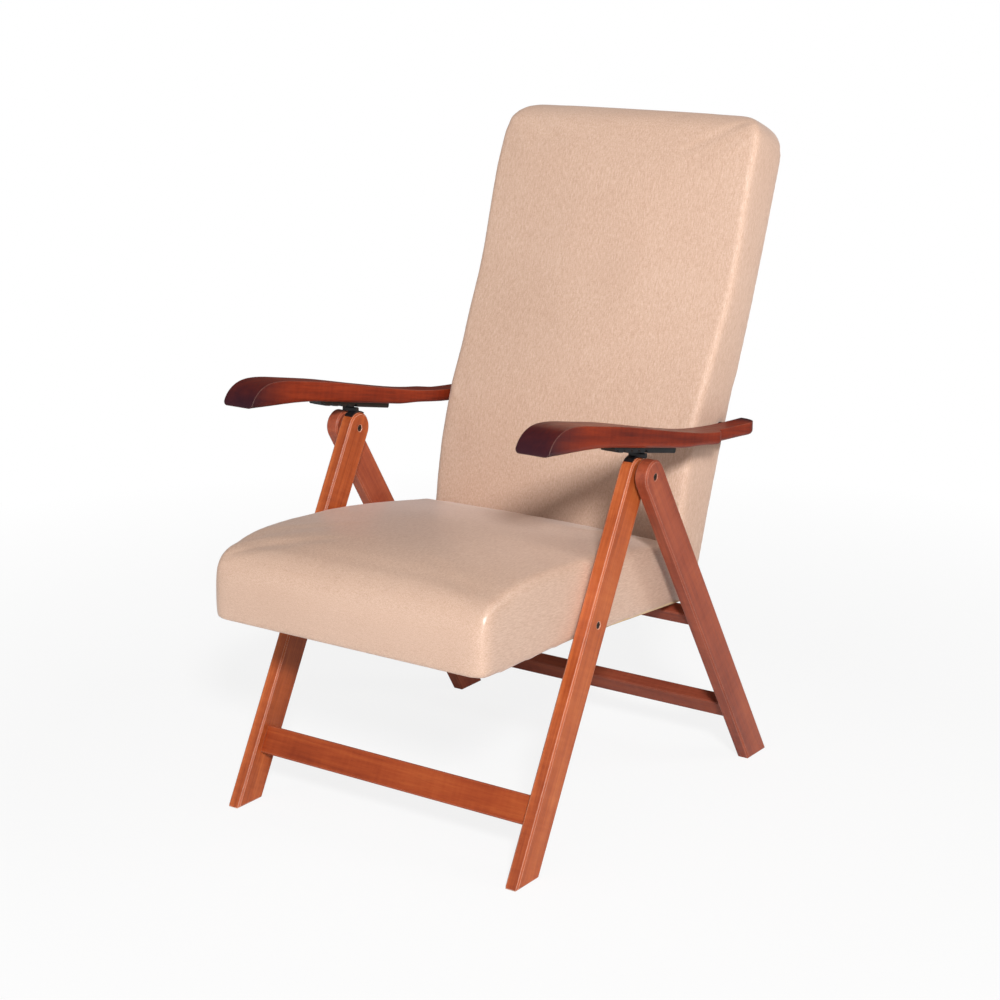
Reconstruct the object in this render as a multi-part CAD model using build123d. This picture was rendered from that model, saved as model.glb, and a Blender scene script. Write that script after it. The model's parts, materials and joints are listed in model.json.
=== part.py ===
from build123d import *
import math
import os

os.makedirs("parts", exist_ok=True)

# A folding armchair whose back reclines in steps. It faces -y and stands on z = 0.
# The right side is at +x, as seen from the front. Lengths are millimetres.
# Places in the side view are (y, z), with y measured rearward from the leg pivots.

# Clearances
run_gap = 0.3
pin_gap = 0.05
overrun = 10

# Legs
leg_thick = 22
leg_wide = 50
leg_arris = 2.5
leg_pivot_height = 545
front_lean = -28
rear_lean = 32.5
seat_leg_gap = 1
leg_gap = 5.5

# Crossbars: height along the leg, thickness, and distance down the leg from the pivot
front_bar_high = 44
front_bar_thick = 24
front_bar_down = 493
lower_bar_high = 33
lower_bar_thick = 22
lower_bar_down = 515
upper_bar_high = 24
upper_bar_thick = 22
bar_arris = 1.5

# Dowels in the crossbar ends
dowel_radius = 4
dowel_in_leg = 14
dowel_in_bar = 26
dowel_edge_share = 0.27

# Bolts and nuts through wood
bolt_radius = 4
bolt_head_radius = 5.2
bolt_head_high = 3.4
bolt_sunk = 1
nut_radius = 7
nut_high = 5
washer_radius = 8
spacer_radius = 12
key_radius = 2.2
key_depth = 1.8

# Seat frame, measured from the seat pivot towards the back hinge
seat_pivot_down = 231
seat_tilt = 4.32
seat_hinge_reach = 318.4
seat_front_reach = 241
seat_rail_thick = 20
seat_rail_high = 40
end_rail_thick = 22
rear_rail_ahead = 45
dust_cover_thick = 1.5
web_thick = 2
web_wide = 50
seat_web_count = 5
web_edge_room = 14

# Seat cushion
seat_wide = 499
seat_side_cover = 3
seat_front_cover = 12
seat_front_face_high = 52
seat_high = 110
seat_corner = 16
seat_crown = 7
seat_bulge = 1.5
seat_plan_corner = 20

# Back frame, measured up from the back hinge
back_lean = 20.63
hinge_round = 24
back_stile_thick = 20
hinge_plate_thick = 3
hinge_plate_wide = 24
hinge_plate_long = 83
hinge_plate_lean = 4
back_stile_deep = 40
back_stile_high = 690
back_rail_high = 45
back_bottom_rail_up = 34
back_panel_thick = 4
back_web_count = 6

# Back cushion
back_side_inset = 4.5
recline_range = 20
back_high = 758
back_deep = 109.5
back_corner = 12
back_crown = 4
back_bulge = 1.5
back_top_corner = 52
back_top_front_round = 40
back_top_rear_round = 22
seam_lean = 26.9

# Armrests, measured from the arm pivot
arm_pivot_up = 254.9
arm_pivot_behind = 4.5
arm_tail = 58
arm_long_share = 2.0952
middle_share = 0.5
arm_rise = 105
arm_outer_overhang = 44
arm_inner_inset = 6
arm_front_inner_inset = 12.5
arm_tail_overhang = 27.5
arm_taper_ahead = 192
arm_sweep_ahead = 102
arm_sweep_long = 32
arm_tail_round = 30
arm_edge_round = 7
arm_bolt_depth = 22
arm_sleeve_wall = 2
arm_disc_radius = 15
arm_disc_thick = 8
arm_nose_slope = -4
arm_tail_slope = -5

# Racks under the arms and the catches on the legs
rack_slope = 11.53
rack_deep = 8
rack_wide = 25
rack_overhang = 8.5
rack_ahead_of_catch = 91
rack_behind_catch = 87
rack_notches = 5
notch_pitch = 20.4
notch_wide = 9
notch_deep = 4.5
rack_nose = 6
rack_tail_nose = 2
rack_screw_radius = 2
rack_screw_head_radius = 3.4
rack_screw_head_high = 2
rack_screw_long = 16
rack_screws_from_catch = [-71.4, 20.4, 69.4]
catch_strap_thick = 2.5
catch_strap_angle = 36
catch_pin_wide = 6
catch_edge_room = 1.5
catch_screw_angle = 24
catch_screw_long = 16
catch_screw_head_radius = 4

# Outlines, as shares of the size that each follows
nose_turn_shares = [0.0, 0.2, 0.4, 0.6, 0.8]
# Seat top: (share of the depth from the front face to the hinge, share of the seat's height)
seat_top_shares = [
    (0.09, 0.895), (0.13, 0.95), (0.18, 0.985), (0.23, 0.998), (0.29, 1.0), (0.36, 0.986),
    (0.44, 0.962), (0.54, 0.915), (0.64, 0.86), (0.74, 0.8), (0.86, 0.715), (1.0, 0.6),
]
# Back front face: (share of the height, share of the depth in front of the rear face)
back_front_shares = [
    (0.0, 0.7), (0.074, 0.745), (0.14, 0.857), (0.206, 0.94), (0.262, 0.972), (0.341, 1.0),
    (0.422, 0.937), (0.515, 0.882), (0.6, 0.82), (0.66, 0.82), (0.721, 0.85), (0.788, 0.888),
    (0.843, 0.914), (0.89, 0.905), (0.926, 0.89),
]
# Back top: shares of the front rounding, down from the top
back_top_shares = [0.8, 0.55, 0.36, 0.2, 0.08, 0.02, 0.0]
# Back half width: (share of the height, share of the half width)
back_width_shares = [
    (0.0, 0.986), (0.2, 0.982), (0.34, 0.978), (0.45, 0.984), (0.58, 0.998), (0.75, 1.0), (1.0, 0.99),
]
# Arm outlines: (share of the length from the tail end, share of the rise above the pivot)
arm_top_shares = [
    (1.0, 0.705), (0.9874, 0.848), (0.9496, 0.981), (0.8976, 1.0), (0.8047, 0.905), (0.6882, 0.762),
    (0.5701, 0.59), (0.4457, 0.41), (0.3181, 0.243), (0.1858, 0.133), (0.0, 0.048),
]
arm_front_under_shares = [(1.0, 0.705), (0.9496, 0.676), (0.8693, 0.63)]
arm_rear_under_shares = [(0.337, 0.066), (0.225, -0.038), (0.098, -0.105), (0.0, -0.157)]


def unit(degrees):
    """Direction in the side view, so many degrees up from straight back."""
    return Vector(math.cos(math.radians(degrees)), math.sin(math.radians(degrees)))


# Pivots in the side view
leg_pivot = Vector(0, leg_pivot_height)


def on_leg(lean, down, across=0):
    """Place on a leg: down from its pivot, and across it towards the rear."""
    return leg_pivot + unit(lean - 90) * down + unit(lean) * across


seat_pivot = on_leg(front_lean, seat_pivot_down)


def on_seat(behind, up):
    """Place on the seat frame, from the seat pivot: behind along its rails, and up square to them."""
    return seat_pivot + unit(-seat_tilt) * behind + unit(90 - seat_tilt) * up


hinge = on_seat(seat_hinge_reach, 0)


def on_back(up, fore):
    """Place on the back, from its hinge: up along its stiles, and fore square to them."""
    return hinge + unit(90 - back_lean) * up + unit(180 - back_lean) * fore


arm_pivot = on_back(arm_pivot_up, -arm_pivot_behind)


def on_arm(fore, up):
    """Place on an armrest, from its pivot."""
    return arm_pivot + Vector(-fore, up)


# Places across the chair
seat_half = seat_wide / 2
back_half = seat_half - back_side_inset
front_leg_x = seat_half + seat_leg_gap
rear_leg_x = front_leg_x + leg_thick + leg_gap
seat_rail_outer_x = seat_half - seat_side_cover
seat_rail_inner_x = seat_rail_outer_x - seat_rail_thick
stile_outer_x = seat_rail_inner_x - hinge_plate_thick - run_gap - run_gap
stile_inner_x = stile_outer_x - back_stile_thick
arm_outer_x = seat_half + arm_outer_overhang
arm_inner_x = seat_half - arm_inner_inset
arm_front_inner_x = seat_half - arm_front_inner_inset
arm_tail_outer_x = seat_half + arm_tail_overhang
rack_inner_x = seat_half + rack_overhang
arm_long = (arm_pivot.X - leg_pivot.X) * arm_long_share


def slab(face, x_from, x_to):
    """Solid with its outline in the side view, between two places across the chair."""
    return extrude(Plane.YZ.offset(x_from) * face, amount=x_to - x_from)


def rod(centre, radius, x_from, x_to):
    """Round bar across the chair."""
    return slab(Pos(centre.X, centre.Y) * Circle(radius), x_from, x_to)


def polygon(*corners):
    return make_face(Polyline(*corners, close=True))


def both(solid):
    """The piece on the right side and its mirror image on the left, as one group."""
    return Compound(children=[solid, mirror(solid, about=Plane.YZ)])


nodes = {}


def pair(name, solid):
    """One node on each side of the chair."""
    nodes[name + "_right"] = solid
    nodes[name + "_left"] = mirror(solid, about=Plane.YZ)


# Legs
def leg(lean, x_from):
    """Bar that is round about its pivot and cut level at the floor, with eased arrises."""
    half = leg_wide / 2

    def at_floor(across):
        top = on_leg(lean, 0, across)
        return on_leg(lean, top.Y / math.cos(math.radians(lean)), across)

    outline = make_face([
        Line(on_leg(lean, 0, -half), at_floor(-half)),
        Line(at_floor(-half), at_floor(half)),
        Line(at_floor(half), on_leg(lean, 0, half)),
        ThreePointArc(on_leg(lean, 0, half), on_leg(lean, -half), on_leg(lean, 0, -half)),
    ])
    bar = slab(outline, x_from, x_from + leg_thick)
    return chamfer(bar.faces().filter_by(Axis.X).edges(), leg_arris)


def dowel_places(lean, down, high, count):
    """Centres of the dowels in the end of a crossbar, spaced along its height."""
    if count == 1:
        return [on_leg(lean, down + high / 2)]
    edge = high * dowel_edge_share
    return [on_leg(lean, down + edge), on_leg(lean, down + high - edge)]


def crossbar(lean, down, high, thick, end_x, places):
    """Bar between two legs, with its arrises eased and a dowel hole at each place in both ends."""
    half = thick / 2
    outline = polygon(
        on_leg(lean, down, -half), on_leg(lean, down, half),
        on_leg(lean, down + high, half), on_leg(lean, down + high, -half),
    )
    bar = slab(outline, -end_x, end_x)
    bar = chamfer(bar.edges().filter_by(Axis.X), bar_arris)
    for place in places:
        hole = rod(place, dowel_radius + pin_gap, end_x - dowel_in_bar - run_gap, end_x + overrun)
        bar -= hole + mirror(hole, about=Plane.YZ)
    return bar


def dowel_holes(places, x_face):
    """Blind holes for dowels in the inner face of a leg."""
    far_x = x_face + dowel_in_leg + run_gap
    return [rod(place, dowel_radius + pin_gap, x_face - overrun, far_x) for place in places]


def dowels(places, x_face):
    far_x = x_face + dowel_in_leg
    return [both(rod(place, dowel_radius, x_face - dowel_in_bar, far_x)) for place in places]


under_seat = seat_rail_high / 2 + dust_cover_thick
upright_to_seat = unit(90 - seat_tilt)
# The upper crossbar's top rear edge carries the seat from below.
upper_bar_down = (
    -under_seat - run_gap - (leg_pivot - seat_pivot).dot(upright_to_seat)
    - upper_bar_thick / 2 * unit(rear_lean).dot(upright_to_seat)
) / unit(rear_lean - 90).dot(upright_to_seat)

front_places = dowel_places(front_lean, front_bar_down, front_bar_high, 2)
lower_places = dowel_places(rear_lean, lower_bar_down, lower_bar_high, 2)
upper_places = dowel_places(rear_lean, upper_bar_down, upper_bar_high, 1)

nodes["front_crossbar"] = crossbar(
    front_lean, front_bar_down, front_bar_high, front_bar_thick, front_leg_x, front_places)
nodes["rear_lower_crossbar"] = crossbar(
    rear_lean, lower_bar_down, lower_bar_high, lower_bar_thick, rear_leg_x, lower_places)
nodes["rear_upper_crossbar"] = crossbar(
    rear_lean, upper_bar_down, upper_bar_high, upper_bar_thick, rear_leg_x, upper_places)
nodes["front_dowels"] = Compound(children=dowels(front_places, front_leg_x))
nodes["rear_dowels"] = Compound(children=dowels(lower_places + upper_places, rear_leg_x))

# Bolt through both legs: a shank with a head at each end, sunk in the wood
head_pocket_radius = bolt_head_radius + run_gap
head_pocket_deep = bolt_sunk + bolt_head_high + run_gap
front_leg_out_x = front_leg_x + leg_thick
rear_leg_out_x = rear_leg_x + leg_thick


def head_pocket(centre, x_face, inward):
    """Round pocket in a leg's face for a bolt head; inward is 1 or -1 along x."""
    x_floor = x_face + inward * head_pocket_deep
    x_open = x_face - inward * overrun
    return rod(centre, head_pocket_radius, min(x_floor, x_open), max(x_floor, x_open))


def bolt_head(centre, x_face, inward):
    """Bolt head sunk below a leg's face, with a round key socket."""
    x_top = x_face + inward * bolt_sunk
    x_under = x_top + inward * bolt_head_high
    head = rod(centre, bolt_head_radius, min(x_top, x_under), max(x_top, x_under))
    x_socket = x_top + inward * key_depth
    x_open = x_top - inward * overrun
    return head - rod(centre, key_radius, min(x_socket, x_open), max(x_socket, x_open))


def catch_screw_cut(angle, radius, deep):
    """Round hole down into a leg's top, square to its round face, at an angle from upright."""
    tip = leg_pivot + unit(90 + angle) * (leg_wide / 2 + catch_strap_thick + overrun)
    outward = unit(90 + angle)
    x_middle = front_leg_x + leg_thick / 2
    plane = Plane(origin=(x_middle, tip.X, tip.Y), z_dir=(0, -outward.X, -outward.Y))
    return extrude(plane * Circle(radius), amount=deep)


front_leg = leg(front_lean, front_leg_x)
front_leg -= rod(leg_pivot, bolt_radius + pin_gap, front_leg_x - overrun, front_leg_out_x + overrun)
front_leg -= head_pocket(leg_pivot, front_leg_x, 1)
front_leg -= rod(seat_pivot, bolt_radius + pin_gap, front_leg_x - overrun, front_leg_out_x + overrun)
front_leg -= head_pocket(seat_pivot, front_leg_out_x, -1)
for hole in dowel_holes(front_places, front_leg_x):
    front_leg -= hole
screw_reach = overrun + catch_strap_thick + catch_screw_long
for angle in (-catch_screw_angle, catch_screw_angle):
    front_leg -= catch_screw_cut(angle, rack_screw_radius + pin_gap, screw_reach + run_gap)

rear_leg = leg(rear_lean, rear_leg_x)
rear_leg -= rod(leg_pivot, bolt_radius + pin_gap, rear_leg_x - overrun, rear_leg_out_x + overrun)
rear_leg -= head_pocket(leg_pivot, rear_leg_out_x, -1)
for hole in dowel_holes(lower_places + upper_places, rear_leg_x):
    rear_leg -= hole

pair("front_leg", front_leg)
pair("rear_leg", rear_leg)

head_deep = bolt_sunk + bolt_head_high
leg_bolt = rod(leg_pivot, bolt_radius, front_leg_x + head_deep, rear_leg_out_x - head_deep)
leg_bolt += bolt_head(leg_pivot, front_leg_x, 1)
leg_bolt += bolt_head(leg_pivot, rear_leg_out_x, -1)
leg_spacer = rod(leg_pivot, spacer_radius, front_leg_out_x, rear_leg_x - run_gap)
leg_spacer -= rod(leg_pivot, bolt_radius + pin_gap, front_leg_out_x - overrun, rear_leg_x + overrun)
nodes["leg_pivot_bolts"] = both(leg_bolt)
nodes["leg_spacers"] = both(leg_spacer)

# Bolt from the front leg into the seat's side rail, with its nut and a washer in the cover
seat_nut_x = seat_rail_inner_x - nut_high - run_gap
seat_bolt = rod(seat_pivot, bolt_radius, seat_nut_x, front_leg_out_x - head_deep)
seat_bolt += bolt_head(seat_pivot, front_leg_out_x, -1)
seat_washer = rod(seat_pivot, washer_radius, seat_rail_outer_x + run_gap, front_leg_x)
seat_washer -= rod(seat_pivot, bolt_radius + pin_gap, seat_rail_outer_x - overrun, front_leg_x + overrun)


def nut(centre, x_from):
    """Hexagonal nut on a bolt across the chair."""
    face = Pos(centre.X, centre.Y) * (RegularPolygon(nut_radius, 6) - Circle(bolt_radius))
    return slab(face, x_from, x_from + nut_high)


nodes["seat_pivot_bolts"] = both(seat_bolt)
nodes["seat_pivot_washers"] = both(seat_washer)
nodes["seat_pivot_nuts"] = both(nut(seat_pivot, seat_nut_x))


# Seat frame
def rounded_rail(place, front, high, start, x_from, x_to):
    """Rail that ends round about the hinge and starts square; place gives points along and across it."""
    half = high / 2
    tip = front + math.copysign(half, front - start)
    outline = make_face([
        Line(place(start, -half), place(front, -half)),
        ThreePointArc(place(front, -half), place(tip, 0), place(front, half)),
        Line(place(front, half), place(start, half)),
        Line(place(start, half), place(start, -half)),
    ])
    return slab(outline, x_from, x_to)


seat_rail = rounded_rail(
    on_seat, seat_hinge_reach, seat_rail_high, -seat_front_reach, seat_rail_inner_x, seat_rail_outer_x)
for pivot in (seat_pivot, hinge):
    seat_rail -= rod(pivot, bolt_radius + pin_gap, seat_rail_inner_x - overrun, seat_rail_outer_x + overrun)
hinge_pocket_x = seat_rail_outer_x - head_pocket_deep + bolt_sunk
seat_rail -= rod(hinge, head_pocket_radius, hinge_pocket_x, seat_rail_outer_x + overrun)
pair("seat_side_rail", seat_rail)


def seat_cross_rail(behind):
    """Rail across the seat frame, from its front face."""
    half = seat_rail_high / 2
    outline = polygon(
        on_seat(behind, -half), on_seat(behind, half),
        on_seat(behind + end_rail_thick, half), on_seat(behind + end_rail_thick, -half),
    )
    return slab(outline, -seat_rail_inner_x, seat_rail_inner_x)


rear_rail_at = seat_hinge_reach - rear_rail_ahead - end_rail_thick
nodes["seat_front_rail"] = seat_cross_rail(-seat_front_reach)
nodes["seat_rear_rail"] = seat_cross_rail(rear_rail_at)


def straps(place, first, last, count, level, half_long):
    """Webbing straps across a frame, evenly spaced between two places along it."""
    step = (last - first - web_wide) / (count - 1)
    faces = []
    for number in range(count):
        start = first + number * step
        faces.append(polygon(
            place(start, level), place(start, level + web_thick),
            place(start + web_wide, level + web_thick), place(start + web_wide, level),
        ))
    return Compound(children=[slab(face, -half_long, half_long) for face in faces])


seat_web_from = -seat_front_reach + web_edge_room
seat_web_to = rear_rail_at + end_rail_thick
seat_web_half = seat_rail_outer_x - web_edge_room / 2
nodes["seat_webbing"] = straps(
    on_seat, seat_web_from, seat_web_to, seat_web_count, seat_rail_high / 2, seat_web_half)

dust_edge = seat_rail_outer_x - run_gap
dust_from = -seat_front_reach
dust_to = rear_rail_at + end_rail_thick
nodes["seat_dust_cover"] = slab(polygon(
    on_seat(dust_from, -under_seat), on_seat(dust_from, -seat_rail_high / 2),
    on_seat(dust_to, -seat_rail_high / 2), on_seat(dust_to, -under_seat),
), -dust_edge, dust_edge)


# Cushions
def cushion_section(plane, half_width, low, high, corner, crown, bulge):
    """Outline across a cushion: flat below, sides drawn in at both ends, round corners and a crown."""
    side = half_width - bulge
    shoulder = high - crown
    middle = (low + shoulder - corner) / 2
    bend = corner * math.sqrt(1 / 2)
    centre_x = side - corner
    centre_y = shoulder - corner

    def right(x, y):
        return Vector(x, y)

    def left(x, y):
        return Vector(-x, y)

    edges = [Line(left(side, low), right(side, low))]
    edges.append(ThreePointArc(right(side, low), right(half_width, middle), right(side, centre_y)))
    edges.append(ThreePointArc(
        right(side, centre_y), right(centre_x + bend, centre_y + bend), right(centre_x, shoulder)))
    edges.append(ThreePointArc(right(centre_x, shoulder), Vector(0, high), left(centre_x, shoulder)))
    edges.append(ThreePointArc(
        left(centre_x, shoulder), left(centre_x + bend, centre_y + bend), left(side, centre_y)))
    edges.append(ThreePointArc(left(side, centre_y), left(half_width, middle), left(side, low)))
    return plane * make_face(edges)


def rounding(depth, radius):
    """How far a rounded edge draws in, so deep below its top."""
    if depth >= radius:
        return 0
    return radius - math.sqrt(radius ** 2 - (radius - depth) ** 2)


def between(shares, share):
    """Value of a table of shares at a share between two of its rows."""
    for (start, low), (end, high) in zip(shares, shares[1:]):
        if share <= end:
            return low + (high - low) * (share - start) / (end - start)
    return shares[-1][1]


# Seat cushion: vertical sections from the front face to behind the hinge
seat_face_y = on_seat(-seat_front_reach, 0).X - seat_front_cover
seat_reach_y = hinge.X + hinge_round - seat_face_y


def seat_low(y):
    """Height of the seat's underside at a place from front to back."""
    return on_seat(0, -under_seat).Y - (y - on_seat(0, -under_seat).X) * math.tan(math.radians(seat_tilt))


def seat_face(y, high):
    """Upright section across the seat cushion, at a place from front to back."""
    half_width = seat_half - rounding(y - seat_face_y, seat_plan_corner)
    plane = Plane(origin=(0, y, 0), x_dir=(1, 0, 0), z_dir=(0, -1, 0))
    return cushion_section(plane, half_width, seat_low(y), high, seat_corner, seat_crown, seat_bulge)


seat_faces = []
seat_face_low = seat_low(seat_face_y)
nose_deep = seat_top_shares[0][0] * (hinge.X - seat_face_y)
nose_rise = seat_high * seat_top_shares[0][1] - seat_front_face_high
for turn_share in nose_turn_shares:
    turn = math.radians(90 * turn_share)
    y = seat_face_y + nose_deep * (1 - math.cos(turn))
    seat_faces.append(seat_face(y, seat_face_low + seat_front_face_high + nose_rise * math.sin(turn)))
for depth_share, high_share in seat_top_shares:
    y = seat_face_y + depth_share * seat_reach_y
    seat_faces.append(seat_face(y, seat_face_low + seat_high * high_share))
seat_cushion = loft(seat_faces, ruled=True)

# The seat and the back part along a seam that leans forward from the hinge.
seam = unit(90 + seam_lean)
past_seam = unit(seam_lean)
reach = seat_hinge_reach


def behind_seam(gap):
    """Everything behind the seam, from so far in front of it, in the side view."""
    start = hinge - past_seam * gap
    return polygon(
        start - seam * reach, start + seam * reach,
        start + seam * reach + past_seam * reach, start - seam * reach + past_seam * reach,
    )


def ahead_of_seam(gap):
    """Everything ahead of the seam, from so far behind it, in the side view."""
    start = hinge + past_seam * gap
    return polygon(
        start - seam * reach, start + seam * reach,
        start + seam * reach - past_seam * reach, start - seam * reach - past_seam * reach,
    )


seat_cushion -= slab(behind_seam(run_gap), -seat_half - overrun, seat_half + overrun)
seat_cushion -= rod(hinge, hinge_round + run_gap, -seat_rail_inner_x, seat_rail_inner_x)
stile_front = back_stile_deep / 2 + run_gap
seat_cushion -= slab(polygon(
    on_back(0, 0), on_back(0, stile_front),
    on_back(back_bottom_rail_up, stile_front), on_back(back_bottom_rail_up, 0),
), -seat_rail_inner_x, seat_rail_inner_x)
seat_cushion -= slab(polygon(
    on_seat(seat_hinge_reach, 0), on_seat(seat_hinge_reach + reach, 0),
    on_seat(seat_hinge_reach + reach, -reach), on_seat(seat_hinge_reach, -reach),
), -seat_half - overrun, seat_half + overrun)
seat_ear = rod(hinge, hinge_round, seat_rail_inner_x, seat_half - seat_bulge)
seat_cushion += seat_ear + mirror(seat_ear, about=Plane.YZ)
half_rail = seat_rail_high / 2
rail_slot = make_face([
    Line(on_seat(-seat_front_reach, -half_rail - overrun), on_seat(seat_hinge_reach, -half_rail - overrun)),
    Line(on_seat(seat_hinge_reach, -half_rail - overrun), on_seat(seat_hinge_reach, -half_rail)),
    ThreePointArc(
        on_seat(seat_hinge_reach, -half_rail), on_seat(seat_hinge_reach + half_rail, 0),
        on_seat(seat_hinge_reach, half_rail)),
    Line(on_seat(seat_hinge_reach, half_rail), on_seat(-seat_front_reach, half_rail)),
    Line(on_seat(-seat_front_reach, half_rail), on_seat(-seat_front_reach, -half_rail - overrun)),
])
side_slot = slab(rail_slot, seat_rail_inner_x, seat_rail_outer_x)
seat_cushion -= side_slot + mirror(side_slot, about=Plane.YZ)
seat_cushion -= slab(polygon(
    on_seat(-seat_front_reach, half_rail), on_seat(dust_to, half_rail),
    on_seat(dust_to, -half_rail - overrun), on_seat(-seat_front_reach, -half_rail - overrun),
), -seat_rail_inner_x, seat_rail_inner_x)
seat_cushion -= slab(polygon(
    on_seat(seat_web_from, 0), on_seat(seat_web_from, half_rail + web_thick),
    on_seat(seat_web_to, half_rail + web_thick), on_seat(seat_web_to, 0),
), -seat_rail_outer_x, seat_rail_outer_x)
seat_cushion -= rod(seat_pivot, washer_radius + run_gap, -front_leg_x, front_leg_x)
nodes["seat_cushion"] = seat_cushion

# Back hinge: bolts through the seat's and the back's side rails
hinge_head_x = seat_rail_outer_x - run_gap
hinge_nut_x = stile_inner_x - nut_high - run_gap
hinge_bolt = rod(hinge, bolt_radius, hinge_nut_x, hinge_head_x)
hinge_bolt += rod(hinge, bolt_head_radius, hinge_head_x - bolt_head_high, hinge_head_x)


def on_plate(turn, along, fore):
    """Place on a hinge plate that is turned forward so far from the back, along it from the hinge."""
    heading = 90 - back_lean - hinge_plate_lean + turn
    return hinge + unit(heading) * along + unit(heading + 90) * fore


# Plates on the hinge bolts turn with the back as the chair folds, and stay as it reclines.
half_plate = hinge_plate_wide / 2
plate_end = on_plate(0, hinge_plate_long, 0)
plate_x = stile_outer_x + run_gap
plate_out_x = plate_x + hinge_plate_thick
hinge_plate = slab(polygon(
    on_plate(0, 0, -half_plate), on_plate(0, 0, half_plate),
    on_plate(0, hinge_plate_long, half_plate), on_plate(0, hinge_plate_long, -half_plate),
), plate_x, plate_out_x)
hinge_plate += rod(hinge, half_plate, plate_x, plate_out_x)
hinge_plate += rod(plate_end, half_plate, plate_x, plate_out_x)
hinge_plate -= rod(hinge, bolt_radius + pin_gap, stile_inner_x, seat_rail_outer_x)
nodes["back_hinge_bolts"] = both(hinge_bolt)
nodes["back_hinge_nuts"] = both(nut(hinge, hinge_nut_x))
nodes["back_hinge_plates"] = both(hinge_plate)

# Back frame
half_stile = back_stile_deep / 2
stile = rounded_rail(on_back, 0, back_stile_deep, back_stile_high, stile_inner_x, stile_outer_x)
stile -= rod(hinge, bolt_radius + pin_gap, stile_inner_x - overrun, stile_outer_x + overrun)
stile -= rod(arm_pivot, bolt_radius + pin_gap, stile_inner_x - overrun, stile_outer_x + overrun)
pair("back_side_rail", stile)


def back_cross_rail(up):
    """Rail across the back frame, from its lower edge."""
    rail_top = up + back_rail_high
    outline = polygon(
        on_back(up, -half_stile), on_back(up, -half_stile + end_rail_thick),
        on_back(rail_top, -half_stile + end_rail_thick), on_back(rail_top, -half_stile),
    )
    return slab(outline, -stile_inner_x, stile_inner_x)


nodes["back_bottom_rail"] = back_cross_rail(back_bottom_rail_up)
nodes["back_top_rail"] = back_cross_rail(back_stile_high - back_rail_high)
back_web_from = back_bottom_rail_up + back_rail_high
back_web_to = back_stile_high - web_edge_room
back_web_half = stile_outer_x - web_edge_room / 2
nodes["back_webbing"] = straps(
    on_back, back_web_from, back_web_to, back_web_count, half_stile, back_web_half)
panel_edge = stile_outer_x - run_gap
panel_from = back_bottom_rail_up - web_edge_room
panel_to = back_stile_high - run_gap
nodes["back_rear_panel"] = slab(polygon(
    on_back(panel_from, -half_stile), on_back(panel_from, -half_stile - back_panel_thick),
    on_back(panel_to, -half_stile - back_panel_thick), on_back(panel_to, -half_stile),
), -panel_edge, panel_edge)

# Back cushion: sections square to the stiles, from below the hinge to the top
back_faces = []
rear_face = -half_stile - back_panel_thick


def back_face(up, front, rear, half_width):
    origin = on_back(up, 0)
    down = unit(270 - back_lean)
    plane = Plane(origin=(0, origin.X, origin.Y), x_dir=(1, 0, 0), z_dir=(0, down.X, down.Y))
    return cushion_section(plane, half_width, rear, front, back_corner, back_crown, back_bulge)


for high_share, deep_share in back_front_shares:
    half_width = back_half * between(back_width_shares, high_share)
    front = rear_face + back_deep * deep_share
    back_faces.append(back_face(back_high * high_share, front, rear_face, half_width))
top_deep = back_deep * back_front_shares[-1][1]
for depth_share in back_top_shares:
    depth = back_top_front_round * depth_share
    up = back_high - depth
    front = rear_face + top_deep - rounding(depth, back_top_front_round)
    rear = rear_face + rounding(depth, back_top_rear_round)
    half_width = back_half * between(back_width_shares, up / back_high) - rounding(depth, back_top_corner)
    back_faces.append(back_face(up, front, rear, half_width))
back_cushion = loft(back_faces, ruled=True)
back_cushion -= slab(ahead_of_seam(0), -back_half - overrun, back_half + overrun)
back_cushion += rod(hinge, hinge_round, -stile_outer_x, stile_outer_x)
side_relief = rod(hinge, hinge_round + run_gap, stile_outer_x, back_half + overrun)
back_cushion -= side_relief + mirror(side_relief, about=Plane.YZ)
back_pocket = make_face([
    Line(on_back(back_stile_high, -half_stile), on_back(0, -half_stile)),
    ThreePointArc(on_back(0, -half_stile), on_back(-half_stile, 0), on_back(0, half_stile)),
    Line(on_back(0, half_stile), on_back(back_stile_high, half_stile)),
    Line(on_back(back_stile_high, half_stile), on_back(back_stile_high, -half_stile)),
])
back_cushion -= slab(back_pocket, -stile_outer_x, stile_outer_x)
back_cushion -= slab(polygon(
    on_back(panel_from - run_gap, 0), on_back(panel_from - run_gap, rear_face - overrun),
    on_back(back_stile_high, rear_face - overrun), on_back(back_stile_high, 0),
), -stile_outer_x, stile_outer_x)
back_cushion -= slab(polygon(
    on_back(back_web_from, 0), on_back(back_web_from, half_stile + web_thick),
    on_back(back_web_to, half_stile + web_thick), on_back(back_web_to, 0),
), -stile_outer_x, stile_outer_x)
back_cushion -= rod(arm_pivot, washer_radius + run_gap, -arm_inner_x, arm_inner_x)
# Room inside the cover for each hinge plate, over the whole recline
plate_room = half_plate + run_gap
plate_reach = hinge_plate_long + plate_room
plate_sweep = make_face([
    Line(on_plate(0, 0, -plate_room), on_plate(0, plate_reach, -plate_room)),
    ThreePointArc(
        on_plate(0, plate_reach, -plate_room),
        on_plate(recline_range / 2, math.hypot(plate_reach, plate_room), 0),
        on_plate(recline_range, plate_reach, plate_room)),
    Line(on_plate(recline_range, plate_reach, plate_room), on_plate(recline_range, 0, plate_room)),
    Line(on_plate(recline_range, 0, plate_room), on_plate(0, 0, -plate_room)),
])
plate_pocket = slab(plate_sweep, stile_outer_x, seat_rail_inner_x)
back_cushion -= plate_pocket + mirror(plate_pocket, about=Plane.YZ)
nodes["back_cushion"] = back_cushion

# Armrests
arm_bottom_x = arm_front_inner_x - overrun
arm_beyond_x = arm_outer_x + overrun


def arm_point(length_share, rise_share):
    return on_arm(arm_long * length_share - arm_tail, arm_rise * rise_share)


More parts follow.
